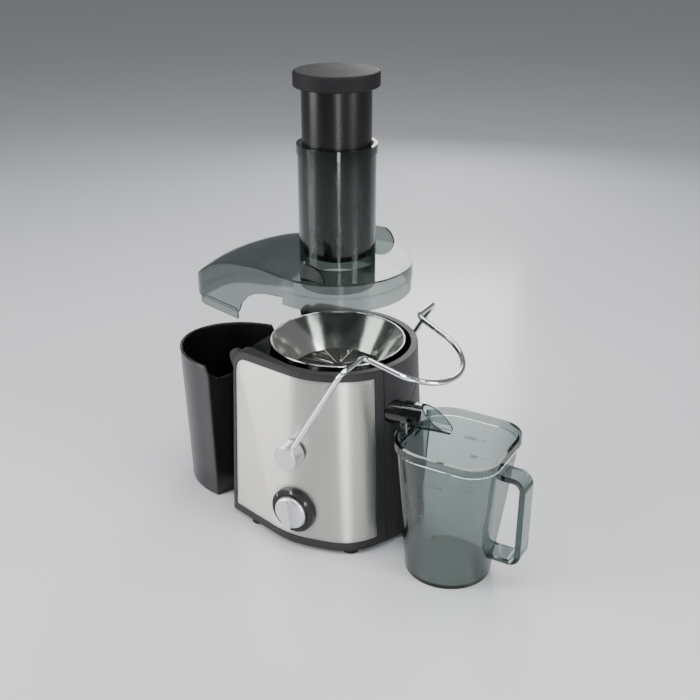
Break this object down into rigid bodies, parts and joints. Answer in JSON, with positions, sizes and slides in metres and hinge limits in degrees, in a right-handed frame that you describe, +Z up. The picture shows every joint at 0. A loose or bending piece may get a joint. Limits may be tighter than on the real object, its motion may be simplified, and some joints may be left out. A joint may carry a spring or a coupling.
{
  "type": "centrifugal juicer",
  "caption": "Centrifugal juicer with a spinning grating basket, raised clear lid with feed chute and pusher, wire locking arm, pulp bin and juice jug",
  "frame": {"origin": "on the worktop, under the drive axis of the basket", "axes": "+X points from the base to the juice jug, -Y is the front with the dial, +Z is up along the drive axis"},
  "size_m": [0.453, 0.2236, 0.5],
  "materials": {
    "housing": "fine-grained matt charcoal plastic",
    "front_panel": "vertical-grain brushed stainless steel",
    "front_trim": "fine-grained matt charcoal plastic",
    "base_plate": "matt black plastic",
    "rubber_feet": "soft black rubber",
    "base_screws": "plain steel",
    "dial_bezel": "fine-grained matt charcoal plastic",
    "speed_knob": "satin silver",
    "knob_stem": "natural nylon",
    "rotary_switch": "matt black plastic",
    "pivot_bushes": "natural nylon",
    "motor_bracket": "cast aluminium",
    "bracket_screws": "plain steel",
    "bearings": "plain steel",
    "stator": "stacked steel laminations",
    "winding": "enamelled copper",
    "armature": "stacked steel laminations",
    "commutator": "enamelled copper",
    "motor_shaft": "plain steel",
    "cooling_fan": "natural nylon",
    "brush_holders": "brass",
    "carbon_brushes": "pressed carbon",
    "control_board": "green circuit board",
    "capacitor": "yellow film capacitor",
    "interlock_switch": "matt black plastic",
    "interlock_plunger": "red plastic",
    "interlock_spring": "plain steel",
    "cord_gland": "matt black plastic",
    "shaft_seal": "soft black rubber",
    "juice_bowl": "polished black plastic",
    "outlet_cover": "fine-grained matt charcoal plastic",
    "spout_nozzle": "smoke-tinted clear plastic",
    "drive_coupling": "natural nylon",
    "basket_hub": "polished black plastic",
    "filter_basket": "polished perforated stainless steel",
    "grating_disc": "polished perforated stainless steel",
    "basket_rim": "polished perforated stainless steel",
    "locking_arm": "bright chrome-plated wire",
    "arm_hubs": "satin silver",
    "pivot_pins": "plain steel",
    "lid": "smoke-tinted clear plastic",
    "pusher_tube": "polished black plastic",
    "pusher_cap": "fine-grained matt charcoal plastic",
    "juice_jug": "smoke-tinted clear plastic",
    "froth_separator": "smoke-tinted clear plastic",
    "pulp_bin": "polished black plastic"
  },
  "bodies": {
    "base": {"housing": "housing", "front_panel": "front_panel", "front_trim": "front_trim", "base_plate": "base_plate", "rubber_feet": "rubber_feet", "base_screws": "base_screws", "dial_bezel": "dial_bezel", "rotary_switch": "rotary_switch", "pivot_bushes": "pivot_bushes", "motor_bracket": "motor_bracket", "bracket_screws": "bracket_screws", "bearings": "bearings", "stator": "stator", "winding": "winding", "brush_holders": "brush_holders", "carbon_brushes": "carbon_brushes", "control_board": "control_board", "capacitor": "capacitor", "interlock_switch": "interlock_switch", "interlock_spring": "interlock_spring", "cord_gland": "cord_gland", "shaft_seal": "shaft_seal", "juice_bowl": "juice_bowl", "outlet_cover": "outlet_cover", "spout_nozzle": "spout_nozzle"},
    "spinner": {"motor_shaft": "motor_shaft", "armature": "armature", "commutator": "commutator", "cooling_fan": "cooling_fan", "drive_coupling": "drive_coupling", "basket_hub": "basket_hub", "filter_basket": "filter_basket", "grating_disc": "grating_disc", "basket_rim": "basket_rim"},
    "knob": {"speed_knob": "speed_knob", "knob_stem": "knob_stem"},
    "plunger": {"interlock_plunger": "interlock_plunger"},
    "arm": {"locking_arm": "locking_arm", "arm_hubs": "arm_hubs", "pivot_pins": "pivot_pins"},
    "lid": {"lid": "lid"},
    "pusher": {"pusher_tube": "pusher_tube", "pusher_cap": "pusher_cap"},
    "jug": {"juice_jug": "juice_jug", "froth_separator": "froth_separator"},
    "bin": {"pulp_bin": "pulp_bin"}
  },
  "joints": [
    {"name": "basket_spin", "type": "hinge", "parent": "base", "child": "spinner", "pos_m": [0, 0, 0.17], "axis": [0, 0, 1], "continuous": true},
    {"name": "knob_turn", "type": "hinge", "parent": "base", "child": "knob", "pos_m": [0, -0.1, 0.046], "axis": [0, 1, 0], "range_deg": [-50, 50]},
    {"name": "plunger_press", "type": "slide", "parent": "base", "child": "plunger", "axis": [0, 0, 1], "range_m": [-0.002, 0], "stiffness_N_per_m": 300, "springref_m": 0.002, "deforming": ["interlock_spring"]},
    {"name": "arm_swing", "type": "hinge", "parent": "base", "child": "arm", "pos_m": [0, 0, 0.1175], "axis": [0, 1, 0], "range_deg": [-26.5, 6]},
    {"name": "lid_lift", "type": "slide", "parent": "base", "child": "lid", "axis": [0, 0, 1], "range_m": [-0.078, 0.06]},
    {"name": "pusher_slide", "type": "slide", "parent": "lid", "child": "pusher", "axis": [0, 0, 1], "range_m": [-0.052, 0.06]},
    {"name": "jug_slide", "type": "slide", "parent": "base", "child": "jug", "axis": [1, 0, 0], "range_m": [0, 0.09]},
    {"name": "bin_slide", "type": "slide", "parent": "base", "child": "bin", "axis": [-1, 0, 0], "range_m": [-0.006, 0.06]}
  ]
}
